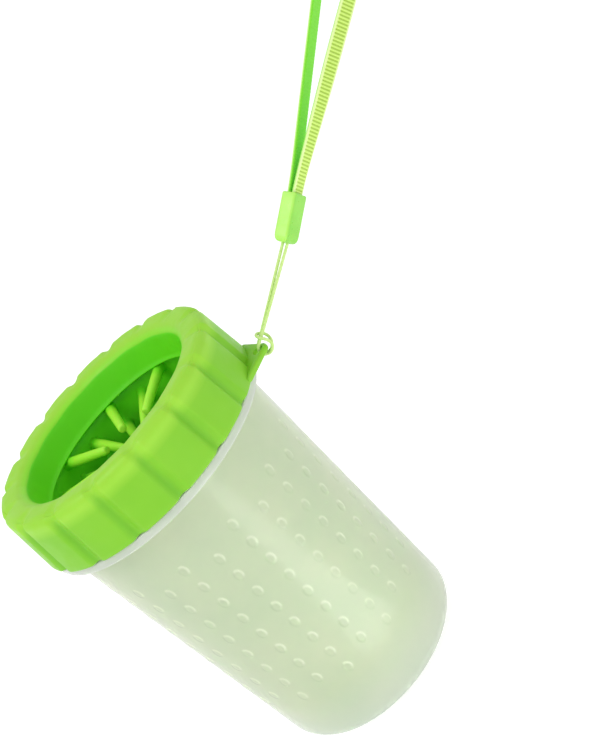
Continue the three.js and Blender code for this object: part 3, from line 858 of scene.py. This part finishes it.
class Nodes:
    """Short names for building a material's node tree."""

    def __init__(self, name):
        self.material = bpy.data.materials.new(name)
        self.material.use_nodes = True
        self.tree = self.material.node_tree
        self.shader = self.tree.nodes["Principled BSDF"]
        self.place = self.add("ShaderNodeTexCoord").outputs["Object"]

    def add(self, kind, **values):
        node = self.tree.nodes.new(kind)
        for key, value in values.items():
            setattr(node, key, value)
        return node

    def link(self, source, target):
        self.tree.links.new(source, target)

    def noise(self, scale, detail, rough=0.5):
        node = self.add("ShaderNodeTexNoise")
        node.inputs["Scale"].default_value = scale
        node.inputs["Detail"].default_value = detail
        node.inputs["Roughness"].default_value = rough
        self.link(self.place, node.inputs["Vector"])
        return node.outputs["Fac"]

    def ramp(self, value, *stops):
        """A colour for each value, blended between stops given as (value, colour)."""
        node = self.add("ShaderNodeValToRGB")
        elements = node.color_ramp.elements
        while len(elements) < len(stops):
            elements.new(0.5)
        for element, (position, color) in zip(elements, stops):
            element.position = position
            element.color = color
        self.link(value, node.inputs["Fac"])
        return node.outputs["Color"]

    def painted(self, name):
        """The number that paint() put on each point under this name."""
        return self.add("ShaderNodeAttribute", attribute_name=name).outputs["Fac"]

    def mix(self, share, first, second):
        """The first colour where the share is 0 and the second where it is 1."""
        node = self.add("ShaderNodeMix", data_type="RGBA")
        self.link(share, node.inputs["Factor"])
        self.link(first, node.inputs["A"])
        self.link(second, node.inputs["B"])
        return node.outputs["Result"]

    def by_height(self, from_mm, to_mm):
        """0 below the first height and 1 above the second."""
        split = self.add("ShaderNodeSeparateXYZ")
        self.link(self.place, split.inputs[0])
        return self.span(split.outputs["Z"], from_mm * MM, to_mm * MM, 0, 1)

    def by_radius(self, inner, outer, from_mm, to_mm):
        """One colour near the cup's axis and another further out."""
        flat = self.add("ShaderNodeVectorMath", operation="MULTIPLY")
        flat.inputs[1].default_value = (1, 1, 0)
        self.link(self.place, flat.inputs[0])
        radius = self.add("ShaderNodeVectorMath", operation="LENGTH")
        self.link(flat.outputs["Vector"], radius.inputs[0])
        share = self.span(radius.outputs["Value"], from_mm * MM, to_mm * MM, 0, 1)
        return self.mix(share, inner, outer)

    def span(self, value, low, high, to_low, to_high):
        """A value carried over from one range to another, and held at the range's ends."""
        node = self.add("ShaderNodeMapRange")
        node.inputs["From Min"].default_value = low
        node.inputs["From Max"].default_value = high
        node.inputs["To Min"].default_value = to_low
        node.inputs["To Max"].default_value = to_high
        self.link(value, node.inputs["Value"])
        return node.outputs["Result"]

    def bump(self, *layers):
        """Bumps laid over each other: (height output, strength, distance in metres)."""
        normal = None
        for height, strength, distance in layers:
            node = self.add("ShaderNodeBump")
            node.inputs["Strength"].default_value = strength
            node.inputs["Distance"].default_value = distance
            self.link(height, node.inputs["Height"])
            if normal is not None:
                self.link(normal, node.inputs["Normal"])
            normal = node.outputs["Normal"]
        self.link(normal, self.shader.inputs["Normal"])

    def set(self, **values):
        """Plain settings of the shader, with _ for each space in a socket's name."""
        for key, value in values.items():
            self.shader.inputs[key.replace("_", " ")].default_value = value


def frosted_plastic():
    """Milky polypropylene: cloudy, lets the insert's green show through, satin skin, with a painted
    highlight on one edge of each raised dot and painted shade on the other.
    """
    n = Nodes("frosted_plastic")
    cloud = n.noise(38, 4, 0.55)
    wall = n.ramp(cloud, (0.3, srgb(223, 236, 204)), (0.7, srgb(234, 241, 211)))
    base = n.ramp(cloud, (0.3, srgb(228, 240, 221)), (0.7, srgb(237, 244, 228)))
    rim = n.ramp(cloud, (0.3, srgb(238, 244, 234)), (0.7, srgb(245, 249, 241)))
    # Painted highlight for one edge of each dot and painted shade for the other.
    light = n.ramp(cloud, (0.3, srgb(246, 254, 224)), (0.7, srgb(250, 255, 232)))
    shade = n.ramp(cloud, (0.3, srgb(206, 222, 184)), (0.7, srgb(214, 228, 194)))
    body = n.mix(n.by_height(3, 24), base, wall)
    body = n.mix(n.painted("rim"), body, rim)
    body = n.mix(n.span(n.painted("dot_painted_shade"), 0, 1, 0, 0.45), body, shade)
    n.link(n.mix(n.painted("dot_painted_highlight"), body, light), n.shader.inputs["Base Color"])
    # Less transmission under the painted highlight, so that it shows brighter.
    n.link(n.span(n.painted("dot_painted_highlight"), 0, 1, 0.5, 0.3), n.shader.inputs["Transmission Weight"])
    n.link(n.span(n.noise(160, 3), 0.3, 0.7, 0.68, 0.8), n.shader.inputs["Roughness"])
    n.bump((n.noise(900, 2), 0.08, 0.0001), (n.noise(55, 2), 0.06, 0.0006))
    n.set(IOR=1.4, Coat_Weight=0.8, Coat_Roughness=0.18)
    return n.material


def lime_rubber():
    """Satin thermoplastic rubber, with painted light and shade: a deeper green on the wall inside the
    mouth, a lighter crest and darker groove walls.
    """
    n = Nodes("lime_rubber")
    tone = n.noise(22, 4, 0.6)
    wall = n.ramp(tone, (0.32, srgb(122, 196, 25)), (0.68, srgb(134, 204, 36)))
    # Painted light: a lighter green on the crest and top face than on the outer wall below.
    crest = n.ramp(tone, (0.32, srgb(148, 212, 44)), (0.68, srgb(158, 219, 58)))
    # sunk: painted shade for the groove walls that turn away from the light.
    sunk = n.ramp(tone, (0.32, srgb(104, 182, 16)), (0.68, srgb(114, 190, 26)))
    outside = n.mix(n.by_height(137, 140.5), wall, crest)
    outside = n.mix(n.span(n.painted("groove"), 0, 1, 0, 0.75), outside, sunk)
    # Painted shade of the mouth's cavity: a deeper, more saturated green inside the mouth, blending
    # through the lip's green to the outside.
    lip = n.ramp(tone, (0.32, srgb(138, 222, 34)), (0.68, srgb(148, 228, 44)))
    inside = n.ramp(tone, (0.32, srgb(98, 218, 12)), (0.68, srgb(110, 226, 20)))
    outside = n.by_radius(lip, outside, 37.8, 39.4)
    n.link(n.by_radius(inside, outside, 37.1, 37.3), n.shader.inputs["Base Color"])
    n.link(n.span(n.noise(240, 3), 0.3, 0.7, 0.42, 0.56), n.shader.inputs["Roughness"])
    n.bump((n.noise(2400, 3), 0.16, 0.00006), (n.noise(90, 2), 0.12, 0.0004))
    n.set(Subsurface_Weight=0.12, Subsurface_Scale=0.0025, IOR=1.45)
    return n.material


def green_silicone():
    """Soft silicone with painted shade: deep green on the sleeve and the fingers' roots, darkest low
    in the cup, lighter towards the fingertips.
    """
    n = Nodes("green_silicone")
    tone = n.noise(60, 3, 0.6)
    fingers = n.ramp(tone, (0.32, srgb(166, 240, 56)), (0.68, srgb(178, 246, 70)))
    # Painted shade: the sleeve a deeper green low in the cup and a lighter one near the mouth.
    painted_deep_shade = n.ramp(tone, (0.32, srgb(86, 204, 20)), (0.68, srgb(98, 214, 30)))
    painted_lit_upper = n.ramp(tone, (0.32, srgb(112, 232, 26)), (0.68, srgb(124, 240, 36)))
    sleeve = n.mix(n.by_height(120, 133), painted_deep_shade, painted_lit_upper)
    n.link(n.by_radius(fingers, sleeve, 31.0, 35.5), n.shader.inputs["Base Color"])
    n.link(n.span(n.noise(300, 3), 0.3, 0.7, 0.4, 0.52), n.shader.inputs["Roughness"])
    n.bump((n.noise(2600, 2), 0.14, 0.00005))
    n.set(Subsurface_Weight=0.2, Subsurface_Scale=0.002, IOR=1.42)
    return n.material


def lime_cord():
    n = Nodes("lime_cord")
    tone = n.noise(900, 4, 0.7)
    thread = n.ramp(tone, (0.3, srgb(190, 226, 120)), (0.7, srgb(216, 242, 160)))
    n.link(thread, n.shader.inputs["Base Color"])
    n.link(n.span(tone, 0.3, 0.7, 0.6, 0.8), n.shader.inputs["Roughness"])
    n.bump((n.noise(6000, 2), 0.3, 0.00004))
    n.set(Sheen_Weight=0.3, Sheen_Roughness=0.4)
    return n.material


def lime_plastic():
    n = Nodes("lime_plastic")
    tone = n.noise(120, 3, 0.5)
    # Painted light and shade: a lighter upper side and a darker lower side.
    painted_lit_upper = n.ramp(tone, (0.3, srgb(176, 240, 98)), (0.7, srgb(188, 246, 114)))
    painted_shade_lower = n.ramp(tone, (0.3, srgb(134, 212, 64)), (0.7, srgb(146, 220, 76)))
    n.link(n.mix(n.painted("shaded_side"), painted_lit_upper, painted_shade_lower), n.shader.inputs["Base Color"])
    n.link(n.span(n.noise(700, 2), 0.3, 0.7, 0.26, 0.38), n.shader.inputs["Roughness"])
    n.bump((n.noise(900, 2), 0.06, 0.00005))
    n.set(Subsurface_Weight=0.1, Subsurface_Scale=0.001, IOR=1.48)
    return n.material


def lime_webbing():
    """Ribbed webbing: pale edges and ribs on its outer face, plain green on its inner one."""
    n = Nodes("lime_webbing")
    tone = n.noise(1400, 4, 0.7)
    inner = n.ramp(tone, (0.3, srgb(126, 226, 44)), (0.7, srgb(142, 234, 58)))
    ribs = n.ramp(n.painted("rib"), (0.25, srgb(166, 200, 72)), (0.6, srgb(206, 240, 116)))
    edges = n.ramp(tone, (0.3, srgb(222, 248, 158)), (0.7, srgb(234, 251, 180)))
    outer = n.mix(n.painted("selvage"), ribs, edges)
    n.link(n.mix(n.painted("outer_face"), inner, outer), n.shader.inputs["Base Color"])
    n.link(n.span(tone, 0.3, 0.7, 0.65, 0.85), n.shader.inputs["Roughness"])
    n.bump((n.noise(5000, 2), 0.3, 0.00005))
    n.set(Sheen_Weight=0.35, Sheen_Roughness=0.4)
    return n.material


def pale_floor():
    n = Nodes("pale_floor")
    tone = n.noise(3, 3, 0.5)
    pale = n.ramp(tone, (0.3, (0.52, 0.52, 0.52, 1)), (0.7, (0.56, 0.56, 0.56, 1)))
    n.link(pale, n.shader.inputs["Base Color"])
    n.set(Roughness=0.9, Emission_Color=(1, 1, 1, 1), Emission_Strength=0.68)
    return n.material


# ---- stage: floor, lights, world ----
def make_floor():
    half = 4000
    points = [(-half, -half, -0.1), (half, -half, -0.1), (half, half, -0.1), (-half, half, -0.1)]
    floor = new_object("floor", points, [(0, 1, 2, 3)])
    floor.data.materials.append(pale_floor())


def area_light(name, place, target, long_way, width, height, power):
    """A soft box at a place, facing a target, with its height along the long way."""
    data = bpy.data.lights.new(name, "AREA")
    data.shape = "RECTANGLE"
    data.size = width
    data.size_y = height
    data.energy = power
    back = (place - target).normalized()
    side = long_way.cross(back).normalized()
    turn = Matrix((side, back.cross(side), back)).transposed().to_4x4()
    light = bpy.data.objects.new(name, data)
    light.matrix_world = Matrix.Translation(place) @ turn
    light.visible_camera = False
    bpy.context.scene.collection.objects.link(light)


def toward(azimuth_deg, elevation_deg, distance):
    """An arrow of a given length in a given direction."""
    azimuth = math.radians(azimuth_deg)
    elevation = math.radians(elevation_deg)
    flat = distance * math.cos(elevation)
    return Vector((
        flat * math.cos(azimuth), flat * math.sin(azimuth), distance * math.sin(elevation),
    ))


def make_world():
    world = bpy.data.worlds.new("studio")
    world.use_nodes = True
    background = world.node_tree.nodes["Background"]
    background.inputs["Color"].default_value = (1, 1, 1, 1)
    background.inputs["Strength"].default_value = 0.75
    bpy.context.scene.world = world


def make_lights():
    """A soft key from above and a long low panel, whose reflection runs down the cup."""
    up = Vector((0, 0, 1))
    middle = Vector((0, 0, 0.08))
    area_light("key", middle + toward(-125, 60, 1.2), middle, up, 0.6, 0.6, 4.5)
    ahead = toward(-53.5, 0, 1)
    panel = ahead * 0.19 + up * 0.002
    area_light("floor_panel", panel, panel + up, ahead, 0.06, 0.24, 0.09)


def set_view_colours():
    """Colours are shown as they are, without a film-like contrast curve."""
    bpy.context.scene.view_settings.view_transform = "Standard"


make_cord(make_clamp())
make_webbing()
make_cup()
make_sleeve()
make_fingers()
make_collar()
make_floor()
make_world()
make_lights()
set_view_colours()
